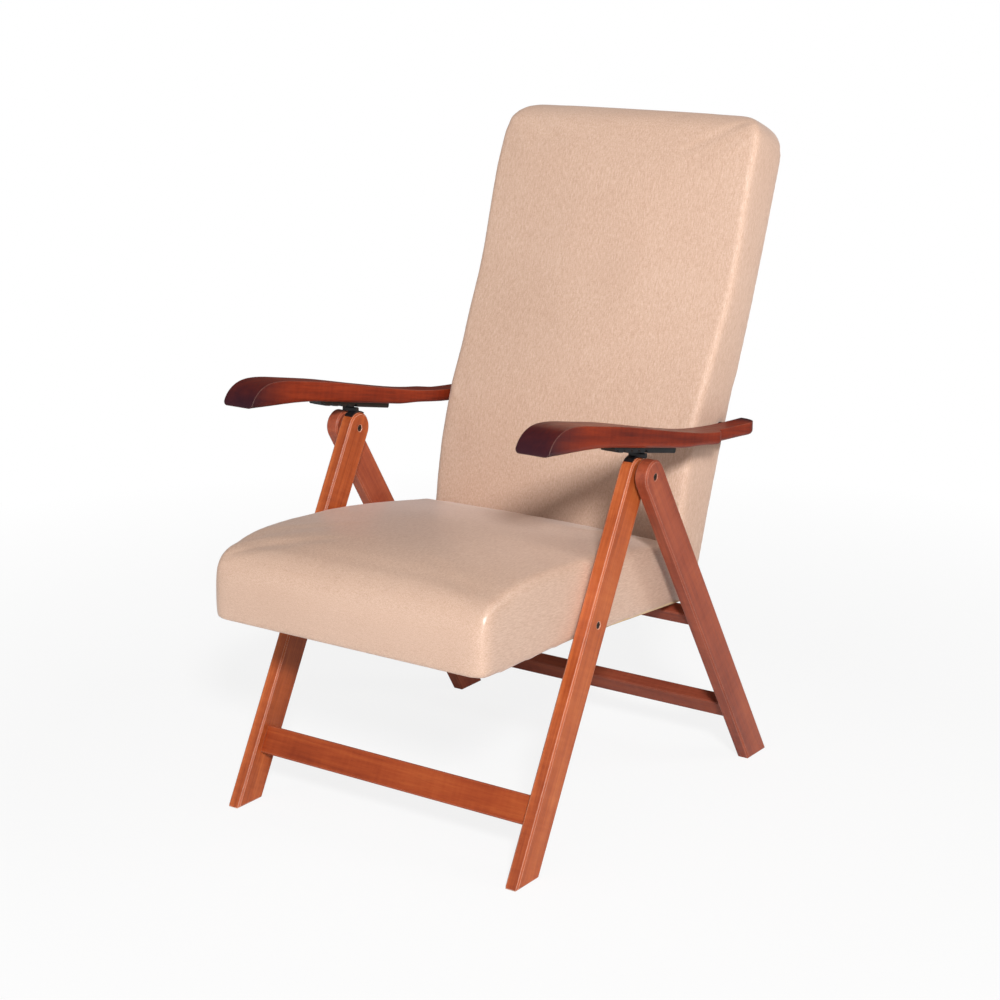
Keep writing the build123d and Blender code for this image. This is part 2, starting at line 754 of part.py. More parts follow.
# The flat under each arm carries the rack, which passes just above the catch.
rack_dir = unit(-rack_slope)
rack_up = unit(90 - rack_slope)
catch_top = leg_pivot_height + leg_wide / 2 + catch_strap_thick + catch_pin_wide + run_gap
rack_contact = Vector(leg_pivot.X, catch_top + run_gap)


def on_rack(behind, up):
    """Place on the rack, from above the catch: behind along it, and up from its lower face."""
    return rack_contact + rack_dir * behind + rack_up * up


flat_front = on_rack(-rack_ahead_of_catch - notch_wide, rack_deep)
flat_rear = on_rack(rack_behind_catch + notch_wide, rack_deep)
arm_top = Spline([arm_point(*shares) for shares in arm_top_shares])
front_under = Spline(
    [arm_point(*shares) for shares in arm_front_under_shares] + [flat_front],
    tangents=[unit(arm_nose_slope), rack_dir])
rear_under = Spline(
    [flat_rear] + [arm_point(*shares) for shares in arm_rear_under_shares],
    tangents=[rack_dir, unit(arm_tail_slope)])
arm_side = make_face([
    arm_top, front_under, Line(flat_front, flat_rear), rear_under,
    Line(arm_point(*arm_rear_under_shares[-1]), arm_point(*arm_top_shares[-1])),
])
nose_y = on_arm(arm_long - arm_tail, 0).X
tail_y = on_arm(-arm_tail, 0).X
taper_y = on_arm(arm_taper_ahead, 0).X
sweep_y = on_arm(arm_sweep_ahead, 0).X
sweep_end_y = sweep_y + arm_sweep_long
tail_cut = arm_tail_round * (1 - math.sqrt(1 / 2))
arm_plan = make_face([
    Line((arm_front_inner_x, nose_y - overrun), (arm_outer_x, nose_y - overrun)),
    Line((arm_outer_x, nose_y - overrun), (arm_outer_x, sweep_y)),
    Spline([(arm_outer_x, sweep_y), (arm_tail_outer_x, sweep_end_y)], tangents=[(0, 1), (0, 1)]),
    Line((arm_tail_outer_x, sweep_end_y), (arm_tail_outer_x, tail_y - arm_tail_round)),
    ThreePointArc(
        (arm_tail_outer_x, tail_y - arm_tail_round), (arm_tail_outer_x - tail_cut, tail_y - tail_cut),
        (arm_tail_outer_x - arm_tail_round, tail_y)),
    Line((arm_tail_outer_x - arm_tail_round, tail_y), (arm_inner_x, tail_y)),
    Line((arm_inner_x, tail_y), (arm_inner_x, taper_y)),
    Line((arm_inner_x, taper_y), (arm_front_inner_x, nose_y - overrun)),
])
arm_blank = slab(arm_side, arm_bottom_x, arm_beyond_x)
plan_low = arm_pivot.Y - arm_rise - overrun
plan_high = arm_pivot.Y + arm_rise + overrun
armrest = arm_blank & extrude(Plane.XY.offset(plan_low) * arm_plan, amount=plan_high - plan_low)
top_face = armrest.faces().sort_by(Axis.Z)[-1]
long_edges = top_face.edges().filter_by(lambda edge: abs(edge.tangent_at(middle_share).X) < middle_share)
armrest = fillet(long_edges, arm_edge_round)
sleeve_radius = bolt_radius + pin_gap + arm_sleeve_wall
armrest -= rod(arm_pivot, sleeve_radius, arm_inner_x - overrun, arm_inner_x + arm_bolt_depth)

# Screws hold the rack up against the arm, clear of its notches.
rack_middle_x = rack_inner_x + rack_wide / 2


def upright_rod(place, radius, long):
    """Round bar up square to the rack, from a place on it."""
    plane = Plane(origin=(rack_middle_x, place.X, place.Y), z_dir=(0, rack_up.X, rack_up.Y))
    return extrude(plane * Circle(radius), amount=long)


rack_outline = polygon(
    on_rack(-rack_ahead_of_catch, rack_deep), on_rack(-rack_ahead_of_catch, rack_nose),
    on_rack(-rack_ahead_of_catch + rack_nose, 0), on_rack(rack_behind_catch - rack_tail_nose, 0),
    on_rack(rack_behind_catch, rack_tail_nose), on_rack(rack_behind_catch, rack_deep),
)
rack = slab(rack_outline, rack_inner_x, rack_inner_x + rack_wide)
for number in range(rack_notches):
    middle = -number * notch_pitch
    half = notch_wide / 2
    notch = make_face([
        Line(on_rack(middle - half, -overrun), on_rack(middle + half, -overrun)),
        Line(on_rack(middle + half, -overrun), on_rack(middle + half, 0)),
        ThreePointArc(on_rack(middle + half, 0), on_rack(middle, notch_deep), on_rack(middle - half, 0)),
        Line(on_rack(middle - half, 0), on_rack(middle - half, -overrun)),
    ])
    rack -= slab(notch, rack_inner_x - overrun, rack_inner_x + rack_wide + overrun)
rack_screws = []
screw_head_deep = overrun + rack_screw_head_high
for behind in rack_screws_from_catch:
    rack -= upright_rod(on_rack(behind, -overrun), rack_screw_head_radius + pin_gap, screw_head_deep)
    rack -= upright_rod(on_rack(behind, 0), rack_screw_radius + pin_gap, rack_deep + overrun)
    armrest -= upright_rod(on_rack(behind, 0), rack_screw_radius + pin_gap, rack_screw_long + run_gap)
    screw = upright_rod(on_rack(behind, run_gap), rack_screw_head_radius, rack_screw_head_high - run_gap)
    screw += upright_rod(on_rack(behind, run_gap), rack_screw_radius, rack_screw_long - run_gap)
    rack_screws.append(screw)
pair("armrest", armrest)
pair("arm_rack", rack)
pair("rack_screws", Compound(children=rack_screws))

# Arm pivots: bolts from inside the back's side rails into sleeves in the arms, with a thick disc on each
arm_bolt_end_x = arm_inner_x + arm_bolt_depth - run_gap
arm_disc_x = stile_inner_x - run_gap - arm_disc_thick
arm_head_x = arm_disc_x - run_gap - arm_disc_thick
arm_bolt = rod(arm_pivot, bolt_radius, arm_head_x, arm_bolt_end_x)
arm_bolt += rod(arm_pivot, arm_disc_radius, arm_head_x, arm_head_x + arm_disc_thick)
arm_disc = rod(arm_pivot, arm_disc_radius, arm_disc_x, arm_disc_x + arm_disc_thick)
arm_disc -= rod(arm_pivot, bolt_radius + pin_gap, arm_head_x, arm_inner_x)
arm_spacer = rod(arm_pivot, washer_radius, stile_outer_x + run_gap, arm_inner_x - run_gap)
arm_spacer -= rod(arm_pivot, bolt_radius + pin_gap, stile_inner_x, arm_outer_x)
arm_sleeve = rod(arm_pivot, sleeve_radius, arm_inner_x, arm_inner_x + arm_bolt_depth)
arm_sleeve -= rod(arm_pivot, bolt_radius + pin_gap, stile_inner_x, arm_outer_x)
pair("arm_pivot_bolt", arm_bolt)
pair("arm_disc", arm_disc)
pair("arm_spacer", arm_spacer)
pair("arm_sleeve", arm_sleeve)

# Catches: a strap bent over each front leg's top, with a round-topped bar on it
strap_in = leg_wide / 2
strap_out = strap_in + catch_strap_thick


def on_strap(turn, out):
    """Place on a strap over a leg's top, turned so far from upright, and out from the leg's pivot."""
    return leg_pivot + unit(90 + turn) * out


strap_face = make_face([
    ThreePointArc(
        on_strap(-catch_strap_angle, strap_in), on_strap(0, strap_in),
        on_strap(catch_strap_angle, strap_in)),
    Line(on_strap(catch_strap_angle, strap_in), on_strap(catch_strap_angle, strap_out)),
    ThreePointArc(
        on_strap(catch_strap_angle, strap_out), on_strap(0, strap_out),
        on_strap(-catch_strap_angle, strap_out)),
    Line(on_strap(-catch_strap_angle, strap_out), on_strap(-catch_strap_angle, strap_in)),
])
strap_from = front_leg_x + leg_arris + catch_edge_room
strap_to = front_leg_out_x - leg_arris - catch_edge_room
catch = slab(strap_face, strap_from, strap_to)
pin_half = catch_pin_wide / 2
pin_foot = leg_pivot_height + strap_in + catch_strap_thick / 2
pin_shoulder = catch_top - pin_half
pin_face = make_face([
    Line((-pin_half, pin_foot), (pin_half, pin_foot)),
    Line((pin_half, pin_foot), (pin_half, pin_shoulder)),
    ThreePointArc((pin_half, pin_shoulder), (0, catch_top), (-pin_half, pin_shoulder)),
    Line((-pin_half, pin_shoulder), (-pin_half, pin_foot)),
])
catch += slab(pin_face, strap_from, rack_inner_x + rack_wide)
catch_screws = []
for angle in (-catch_screw_angle, catch_screw_angle):
    catch -= catch_screw_cut(angle, rack_screw_radius + pin_gap, screw_reach)
    screw = catch_screw_cut(angle, rack_screw_radius, screw_reach)
    screw -= catch_screw_cut(angle, catch_screw_head_radius, overrun)
    catch_screws.append(both(screw))
pair("arm_catch", catch)
nodes["catch_screws"] = Compound(children=catch_screws)

# The origin is on the floor under the middle of the chair.
everything = Compound(children=[Compound(children=node.solids()) for node in nodes.values()])
box = everything.bounding_box()
middle_y = (box.min.Y + box.max.Y) / 2
for name, node in nodes.items():
    solids = [Pos(0, -middle_y, 0) * solid for solid in node.solids()]
    export_step(solids[0] if len(solids) == 1 else Compound(children=solids), f"parts/{name}.step")
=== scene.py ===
import json
import math

import bmesh
import bpy
import numpy as np
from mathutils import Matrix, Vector


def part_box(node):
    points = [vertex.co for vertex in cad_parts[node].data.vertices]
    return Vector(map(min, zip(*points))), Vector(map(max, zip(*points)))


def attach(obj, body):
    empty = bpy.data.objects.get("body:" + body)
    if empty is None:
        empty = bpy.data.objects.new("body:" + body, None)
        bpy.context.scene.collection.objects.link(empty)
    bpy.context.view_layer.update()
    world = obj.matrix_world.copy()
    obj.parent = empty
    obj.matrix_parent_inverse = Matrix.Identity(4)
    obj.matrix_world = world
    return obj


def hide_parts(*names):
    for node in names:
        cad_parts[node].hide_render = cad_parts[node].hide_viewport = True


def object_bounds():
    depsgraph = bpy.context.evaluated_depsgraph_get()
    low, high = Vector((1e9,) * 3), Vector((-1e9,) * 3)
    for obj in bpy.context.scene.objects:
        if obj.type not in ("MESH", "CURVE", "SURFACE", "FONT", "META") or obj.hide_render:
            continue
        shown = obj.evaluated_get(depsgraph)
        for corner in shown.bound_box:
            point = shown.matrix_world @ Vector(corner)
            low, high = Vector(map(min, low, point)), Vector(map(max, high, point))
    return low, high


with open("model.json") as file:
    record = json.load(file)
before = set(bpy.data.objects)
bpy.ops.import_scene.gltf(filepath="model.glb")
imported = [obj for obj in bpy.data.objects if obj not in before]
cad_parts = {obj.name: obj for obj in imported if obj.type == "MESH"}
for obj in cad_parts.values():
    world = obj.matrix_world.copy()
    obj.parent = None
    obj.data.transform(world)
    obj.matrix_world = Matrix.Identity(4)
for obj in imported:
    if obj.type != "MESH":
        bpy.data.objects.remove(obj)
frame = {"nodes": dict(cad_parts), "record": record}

# Folding armchair with a reclining back: woven upholstery on a varnished wooden frame.
# Lengths are metres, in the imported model's frame.
MM = 0.001
cad_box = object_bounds()
joint_places = {
    joint["name"]: Vector(joint["pos_m"]) for joint in frame["record"]["behaviour"]["joints"]}
seat_pivot = joint_places["seat_swing"]
back_hinge = joint_places["recline"]

# Lean of the legs and the back from upright, and tilt of seat and arms from level
FRONT_LEAN = math.radians(-28)
REAR_LEAN = math.radians(32.5)
SEAT_TILT = math.radians(4.32)
BACK_LEAN = math.radians(20.63)
ARM_SLOPE = math.radians(11.53)


# Shader building. On an arris the rounded normal leaves the face's own: their dot product there is
# ARRIS_FULL or less, and beside it ARRIS_NONE or more.
BEVEL_SAMPLES = 6
ARRIS_FULL, ARRIS_NONE = 0.80, 0.985
NOISE_LOW, NOISE_MIDDLE, NOISE_HIGH = 0.3, 0.5, 0.7  # where most of a noise's values lie


def set_range(node, low, high, to_low, to_high):
    """Limits of a Map Range node."""
    limits = {"From Min": low, "From Max": high, "To Min": to_low, "To Max": to_high}
    for key, number in limits.items():
        node.inputs[key].default_value = number


class Shader:
    """A node material that is built up from named parts."""

    def __init__(self, name):
        self.material = bpy.data.materials.new(name)
        self.material.use_nodes = True
        self.tree = self.material.node_tree
        self.surface = self.tree.nodes["Principled BSDF"]

    def add(self, kind, **values):
        node = self.tree.nodes.new("ShaderNode" + kind)
        for key, value in values.items():
            if hasattr(node, key):
                setattr(node, key, value)
            else:
                node.inputs[key.replace("_", " ")].default_value = value
        return node

    def link(self, source, target):
        self.tree.links.new(source, target)

    def coordinates(self, turn=0.0, scale=(1, 1, 1)):
        """Object coordinates turned about the x axis, then scaled."""
        place = self.add("TexCoord").outputs["Object"]
        turned = self.add("Mapping")
        turned.inputs["Rotation"].default_value = (turn, 0, 0)
        self.link(place, turned.inputs["Vector"])
        sized = self.add("Mapping")
        sized.inputs["Scale"].default_value = scale
        self.link(turned.outputs["Vector"], sized.inputs["Vector"])
        return sized.outputs["Vector"]

    def noise(self, vector, scale, detail=4.0, roughness=0.55, distortion=0.0):
        node = self.add(
            "TexNoise", Scale=scale, Detail=detail, Roughness=roughness, Distortion=distortion)
        self.link(vector, node.inputs["Vector"])
        return node.outputs["Fac"]

    def ramp(self, factor, stops):
        """Colours along a factor: (place, colour) pairs."""
        node = self.add("ValToRGB")
        elements = node.color_ramp.elements
        while len(elements) < len(stops):
            elements.new(0.5)
        for element, (place, colour) in zip(elements, stops):
            element.position = place
            element.color = (*colour, 1)
        self.link(factor, node.inputs["Fac"])
        return node.outputs["Color"]

    def mix(self, factor, first, second):
        """Colour between two colours, which are tuples or sockets."""
        node = self.add("Mix", data_type="RGBA")
        inputs = [socket for socket in node.inputs if socket.enabled]
        for socket, value in zip(inputs, (factor, first, second)):
            if isinstance(value, (int, float)):
                socket.default_value = value
            elif isinstance(value, tuple):
                socket.default_value = (*value, 1)
            else:
                self.link(value, socket)
        return [socket for socket in node.outputs if socket.enabled][0]

    def math(self, operation, first, second=0.0):
        node = self.add("Math", operation=operation)
        for socket, value in zip(node.inputs, (first, second)):
            if isinstance(value, (int, float)):
                socket.default_value = value
            else:
                self.link(value, socket)
        return node.outputs["Value"]

    def weighted(self, *parts):
        """Sum of (value, weight) pairs."""
        scaled = [self.math("MULTIPLY", value, weight) for value, weight in parts]
        total = scaled[0]
        for part in scaled[1:]:
            total = self.math("ADD", total, part)
        return total

    def span(self, value, low, high, to_low, to_high):
        """Value from low to high, mapped to to_low up to to_high and held there outside."""
        node = self.add("MapRange")
        set_range(node, low, high, to_low, to_high)
        self.link(value, node.inputs["Value"])
        return node.outputs["Result"]

    def bump(self, height, distance, strength=1.0, normal=None):
        node = self.add("Bump", Strength=strength, Distance=distance)
        self.link(height, node.inputs["Height"])
        if normal:
            self.link(normal, node.inputs["Normal"])
        self.link(node.outputs["Normal"], self.surface.inputs["Normal"])

    def eased_edges(self, radius):
        """Normal that is rounded over the arrises, and how far it turns there."""
        eased = self.add("Bevel", samples=BEVEL_SAMPLES, Radius=radius).outputs["Normal"]
        alike = self.add("VectorMath", operation="DOT_PRODUCT")
        self.link(eased, alike.inputs[0])
        self.link(self.add("NewGeometry").outputs["Normal"], alike.inputs[1])
        return eased, self.span(alike.outputs["Value"], ARRIS_FULL, ARRIS_NONE, 1, 0)

    def set(self, **values):
        for key, value in values.items():
            socket = self.surface.inputs[key.replace("_", " ")]
            if isinstance(value, tuple):
                socket.default_value = (*value, 1)
            elif isinstance(value, (int, float)):
                socket.default_value = value
            else:
                self.link(value, socket)


# Wood
STRETCHED = 0.05  # grain, along its length
SQUEEZED = 0.15  # cross figure, over the grain
FIGURE_SCALE, FINE_SCALE, PORE_SCALE, CROSS_SCALE, CLOUD_SCALE = 30, 260, 1100, 130, 9
FIGURE_SHARE, FINE_SHARE, CLOUD_SHARE, CROSS_SHARE = 0.45, 0.25, 0.2, 0.12
TONE_PLACES = (0.38, 0.52, 0.68)
PORE_LOW, PORE_HIGH, PORE_DEPTH, PORE_SHADE = 0.30, 0.42, 0.3, 0.5
END_WANDER = 0.02
EASED_RADIUS = 2.6 * MM
# Painted highlight on the arrises at the arm's tail: how far ahead of the tail it starts, where it
# is full, and its share
TAIL_HIGHLIGHT_REACH, TAIL_HIGHLIGHT_FULL, TAIL_HIGHLIGHT_SHARE = 12 * MM, 2 * MM, 0.9
GLOSS_SWING = 0.12
GRAIN_RELIEF, GRAIN_STRENGTH = 0.08 * MM, 0.4
FINE_RELIEF = 0.6


def along_axis(axis, value, other=1):
    """Scale with one value along an axis and the other value across it."""
    return tuple(value if letter == axis else other for letter in "xyz")


def wood(
        name, turn, tones, coat=0.12, rough=0.36, coat_rough=0.16, along="z", ends=None, arris_highlight=0.0,
        shine=0.28):
    """Varnished wood with its grain along one axis of coordinates that are turned about x."""
    shader = Shader(name)
    grain = shader.coordinates(turn, along_axis(along, STRETCHED))
    figure = shader.noise(grain, FIGURE_SCALE, detail=5, distortion=0.8)
    fine = shader.noise(grain, FINE_SCALE, detail=3)
    pores = shader.noise(grain, PORE_SCALE, detail=2)
    over_grain = shader.coordinates(turn, along_axis(along, 1, SQUEEZED))
    cross = shader.noise(over_grain, CROSS_SCALE, detail=2)
    cloud = shader.noise(shader.coordinates(turn), CLOUD_SCALE, detail=2)
    blend = shader.weighted(
        (figure, FIGURE_SHARE), (fine, FINE_SHARE), (cloud, CLOUD_SHARE), (cross, CROSS_SHARE))
    colour = shader.ramp(blend, list(zip(TONE_PLACES, tones)))
    pore_mask = shader.math("MULTIPLY", shader.span(pores, PORE_LOW, PORE_HIGH, 1, 0), PORE_DEPTH)
    colour = shader.mix(pore_mask, colour, tuple(part * PORE_SHADE for part in tones[0]))
    if ends:
        place = shader.add("SeparateXYZ")
        shader.link(shader.add("TexCoord").outputs["Object"], place.inputs["Vector"])
        wander = shader.math("MULTIPLY", shader.math("SUBTRACT", figure, NOISE_MIDDLE), END_WANDER)
        along_arm = shader.math("ADD", place.outputs["Y"], wander)
        nose, nose_fade, tail, tail_fade = ends
        at_nose = shader.span(along_arm, nose, nose + nose_fade, 1, 0)
        at_tail = shader.span(along_arm, tail - tail_fade, tail, 0, 1)
        colour = shader.mix(shader.math("MAXIMUM", at_nose, at_tail), colour, END_GRAIN)
    normal, turned = shader.eased_edges(EASED_RADIUS)
    # Painted highlight: a pale salmon tone mixed into the colour along the eased arrises, where the
    # chamfers catch the light
    if arris_highlight:
        colour = shader.mix(shader.math("MULTIPLY", turned, arris_highlight), colour, ARRIS_HIGHLIGHT_TONE)
    # Painted highlight: a pale tone on the arrises near the arm's tail, standing in for the glint
    # on its rounded end
    if ends:
        tail_highlight = shader.span(place.outputs["Y"], tail - TAIL_HIGHLIGHT_REACH, tail - TAIL_HIGHLIGHT_FULL, 0, TAIL_HIGHLIGHT_SHARE)
        colour = shader.mix(shader.math("MULTIPLY", turned, tail_highlight), colour, TAIL_HIGHLIGHT_TONE)
    gloss = shader.span(fine, NOISE_LOW, NOISE_HIGH, rough, rough + GLOSS_SWING)
    shader.set(
        Base_Color=colour, Roughness=gloss, Specular_IOR_Level=shine, Coat_Weight=coat,
        Coat_Roughness=coat_rough)
    relief = shader.math("ADD", shader.math("MULTIPLY", fine, FINE_RELIEF), pores)
    shader.bump(relief, GRAIN_RELIEF, GRAIN_STRENGTH, normal)
    return shader.material


# Tones run from dark to light; the crossbars and the arms are stained deeper than the front legs.
END_GRAIN = (0.030, 0.008, 0.013)
# Pale salmon tone of the painted highlight along the arrises
ARRIS_HIGHLIGHT_TONE = (0.95, 0.60, 0.46)
# Pale tone of the painted highlight at the arm's tail
TAIL_HIGHLIGHT_TONE = (0.85, 0.72, 0.66)
LEG_TONES = ((0.27, 0.045, 0.010), (0.43, 0.090, 0.022), (0.58, 0.160, 0.045))
REAR_TONES = ((0.20, 0.036, 0.017), (0.33, 0.068, 0.030), (0.45, 0.110, 0.045))
BAR_TONES = ((0.21, 0.030, 0.008), (0.315, 0.053, 0.013), (0.41, 0.088, 0.022))
REAR_BAR_TONES = ((0.155, 0.030, 0.016), (0.24, 0.050, 0.025), (0.33, 0.080, 0.038))
ARM_TONES = ((0.090, 0.010, 0.005), (0.205, 0.023, 0.007), (0.32, 0.043, 0.012))
PLAIN_TONES = ((0.50, 0.34, 0.19), (0.66, 0.48, 0.29), (0.76, 0.60, 0.40))

arm_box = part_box("armrest_right")
arm_front, arm_rear = arm_box[0][1], arm_box[1][1]
# The arris value of each wood sets how strong its painted highlight along the arrises is
wood_front_leg = wood("front_leg_wood", -FRONT_LEAN, LEG_TONES, arris_highlight=0.9)
wood_rear_leg = wood("rear_leg_wood", -REAR_LEAN, REAR_TONES, arris_highlight=0.4)
BAR_FINISH = {"along": "x", "shine": 0.16, "coat": 0.06}
wood_crossbar = wood("crossbar_wood", 0, BAR_TONES, arris_highlight=0.3, **BAR_FINISH)
wood_rear_bar = wood("rear_bar_wood", 0, REAR_BAR_TONES, arris_highlight=0.2, **BAR_FINISH)
NOSE_FADE, TAIL_FADE = 0.10, 0.035
wood_arm = wood(
    "arm_wood", ARM_SLOPE, ARM_TONES, coat=0.04, rough=0.32, coat_rough=0.12, along="y", shine=0.12,
    arris_highlight=0.12, ends=(arm_front, NOSE_FADE, arm_rear, TAIL_FADE))
UNVARNISHED = {"coat": 0, "rough": 0.7}
wood_plain_x = wood("plain_wood_across", 0, PLAIN_TONES, along="x", **UNVARNISHED)
wood_plain_seat = wood("plain_wood_seat", SEAT_TILT, PLAIN_TONES, along="y", **UNVARNISHED)
wood_plain_back = wood("plain_wood_back", BACK_LEAN, PLAIN_TONES, along="z", **UNVARNISHED)


# Metal and plastic
MOTTLE_SCALE, MOTTLE_RELIEF, MOTTLE_STRENGTH = 240, 0.06 * MM, 0.4
GLOSSIER, DULLER = 0.06, 0.08


def metal(name, colour, rough, metallic, speckle=0.05):
    """Finished metal with a faint mottle in its colour and gloss."""
    shader = Shader(name)
    mottle = shader.noise(shader.coordinates(), MOTTLE_SCALE, detail=4)
    darker = tuple(part * (1 - speckle) for part in colour)
    lighter = tuple(part * (1 + speckle) for part in colour)
    shader.set(
        Base_Color=shader.mix(mottle, darker, lighter), Metallic=metallic,
        Roughness=shader.span(mottle, NOISE_LOW, NOISE_HIGH, rough - GLOSSIER, rough + DULLER))
    shader.bump(mottle, MOTTLE_RELIEF, MOTTLE_STRENGTH)
    return shader.material


black_steel = metal("black_steel", (0.012, 0.012, 0.014), 0.42, metallic=0.3, speckle=0.3)
dark_bolt = metal("dark_bolt", (0.035, 0.022, 0.016), 0.5, metallic=0.4)
black_nylon = metal("black_nylon", (0.02, 0.02, 0.02), 0.5, metallic=0, speckle=0.2)


# Woven fabric
YARN_LENGTH, WEFT_LENGTH, FLECK_LENGTH = 0.13, 0.2, 0.4  # the less, the longer drawn out
LENGTHWISE_SCALE, CROSSWISE_SCALE, FLECK_SCALE, FADE_SCALE = 820, 900, 1300, 7
LENGTHWISE_SHARE, CROSSWISE_SHARE, FADE_SHARE = 0.62, 0.26, 0.12
YARN_PLACES = (0.34, 0.50, 0.66)
FLECK_LOW, FLECK_HIGH, FLECK_DEPTH, FLECK_LIGHT = 0.56, 0.70, 0.3, 1.3
SHEEN_TINT, SHEEN_ROUGH = (1.0, 0.93, 0.93, 1), 0.4
WEAVE_RELIEF, WEAVE_STRENGTH = 0.16 * MM, 0.45
FLECK_RELIEF = 0.4


def fabric(name, tones, turn=0.0, sheen=0.35, rough=0.62, along="z", under=None, shine=0.5):
    """Plain weave of slubby yarns, lengthwise and crosswise, with pale flecks and a soft sheen."""
    shader = Shader(name)
    warp = shader.coordinates(turn, along_axis(along, YARN_LENGTH))
    lengthwise = shader.noise(warp, LENGTHWISE_SCALE, detail=2, roughness=0.5)
    weft = shader.coordinates(turn, along_axis("x", WEFT_LENGTH))
    crosswise = shader.noise(weft, CROSSWISE_SCALE, detail=2, roughness=0.5)
    slubs = shader.coordinates(turn, along_axis(along, FLECK_LENGTH))
    flecks = shader.noise(slubs, FLECK_SCALE, detail=1)
    fade = shader.noise(shader.coordinates(turn), FADE_SCALE, detail=3)
    yarns = shader.weighted((lengthwise, LENGTHWISE_SHARE), (crosswise, CROSSWISE_SHARE))
    blend = shader.math("ADD", yarns, shader.math("MULTIPLY", fade, FADE_SHARE))
    colour = shader.ramp(blend, list(zip(YARN_PLACES, tones)))
    fleck_mask = shader.span(flecks, FLECK_LOW, FLECK_HIGH, 0, 1)
    paler = tuple(min(1.0, part * FLECK_LIGHT) for part in tones[-1])
    colour = shader.mix(shader.math("MULTIPLY", fleck_mask, FLECK_DEPTH), colour, paler)
    if under:
        colour = under(shader, colour)
    shader.set(
        Base_Color=colour, Roughness=rough, Specular_IOR_Level=shine, Sheen_Weight=sheen,
        Sheen_Roughness=SHEEN_ROUGH)
    shader.surface.inputs["Sheen Tint"].default_value = SHEEN_TINT
    relief = shader.math("ADD", yarns, shader.math("MULTIPLY", flecks, FLECK_RELIEF))
    shader.bump(relief, WEAVE_RELIEF, WEAVE_STRENGTH)
    return shader.material


# Dust cover, in the seat's own turn: half width, front edge, and the height that it stays under
DUST_HALF_WIDE, DUST_FRONT, DUST_TOP = 0.222, -0.40, 0.310
DUST_EDGE = 1 * MM
DUST_TONE = (0.02, 0.02, 0.022)


def dust_cover(shader, colour):
    """Black non-woven cover in the middle of the seat's underside, with fabric around it."""
    place = shader.add("SeparateXYZ")
    shader.link(shader.coordinates(SEAT_TILT), place.inputs["Vector"])
    beside = shader.math("ABSOLUTE", place.outputs["X"])
    inside = shader.span(beside, DUST_HALF_WIDE, DUST_HALF_WIDE + DUST_EDGE, 1, 0)
    behind = shader.span(place.outputs["Y"], DUST_FRONT, DUST_FRONT + DUST_EDGE, 0, 1)
    below = shader.span(place.outputs["Z"], DUST_TOP, DUST_TOP + DUST_EDGE, 1, 0)
    mask = shader.math("MULTIPLY", shader.math("MULTIPLY", inside, behind), below)
    return shader.mix(mask, colour, DUST_TONE)


COVER_TONES = ((0.49, 0.305, 0.213), (0.58, 0.385, 0.283), (0.66, 0.475, 0.37))
DUST_TONES = ((0.02,) * 3, (0.035,) * 3, (0.06,) * 3)
WEB_TONES = ((0.20, 0.15, 0.09), (0.30, 0.24, 0.16), (0.42, 0.35, 0.25))
seat_fabric = fabric(
    "seat_cover_fabric", COVER_TONES, turn=SEAT_TILT, rough=0.38, sheen=0.25, shine=0.8, along="y",
    under=dust_cover)
back_fabric = fabric("back_cover_fabric", COVER_TONES, turn=BACK_LEAN)
dust_fabric = fabric("dust_cover_fabric", DUST_TONES, sheen=0.1, rough=0.9)
web_fabric = fabric("webbing_fabric", WEB_TONES, sheen=0.1, rough=0.8)

# Each node takes the material of its slot, or its own where the grain runs another way
by_slot = {
    "leg_wood": wood_crossbar, "arm_wood": wood_arm, "plain_wood": wood_plain_x,
    "cover_fabric": back_fabric, "panel_fabric": back_fabric, "dust_fabric": dust_fabric,
    "web_fabric": web_fabric, "bolt_steel": dark_bolt, "black_steel": black_steel,
    "spacer_nylon": black_nylon,
}
by_node = {
    "front_leg": wood_front_leg, "rear_leg": wood_rear_leg, "rear_lower_crossbar": wood_rear_bar,
    "rear_upper_crossbar": wood_rear_bar, "seat_side_rail": wood_plain_seat,
    "back_side_rail": wood_plain_back, "seat_cushion": seat_fabric, "seat_webbing": web_fabric,
}
node_slots = {row["node"]: row["material_slot"] for row in frame["record"]["subparts"]}
for name, node in frame["nodes"].items():
    stem = name.removesuffix("_left").removesuffix("_right")
    material = by_node.get(stem, by_slot[node_slots[name]])
    node.data.materials.clear()
    node.data.materials.append(material)


# Cushions
def read(mesh, what):
    """The points ("co") or the normals ("normal") of a mesh, one row each."""
    values = np.empty(len(mesh.vertices) * 3)
    mesh.vertices.foreach_get(what, values)
    return values.reshape(-1, 3)


def write_points(mesh, points):
    mesh.vertices.foreach_set("co", points.ravel())
    mesh.update()


def ease(values, low, high):
    """Smooth step from 0 at low to 1 at high."""
    share = np.clip((values - low) / (high - low), 0, 1)
    return share * share * (3 - 2 * share)


def apply_modifiers(piece):
    depsgraph = bpy.context.evaluated_depsgraph_get()
    mesh = bpy.data.meshes.new_from_object(piece.evaluated_get(depsgraph))
    piece.modifiers.clear()
    piece.data = mesh


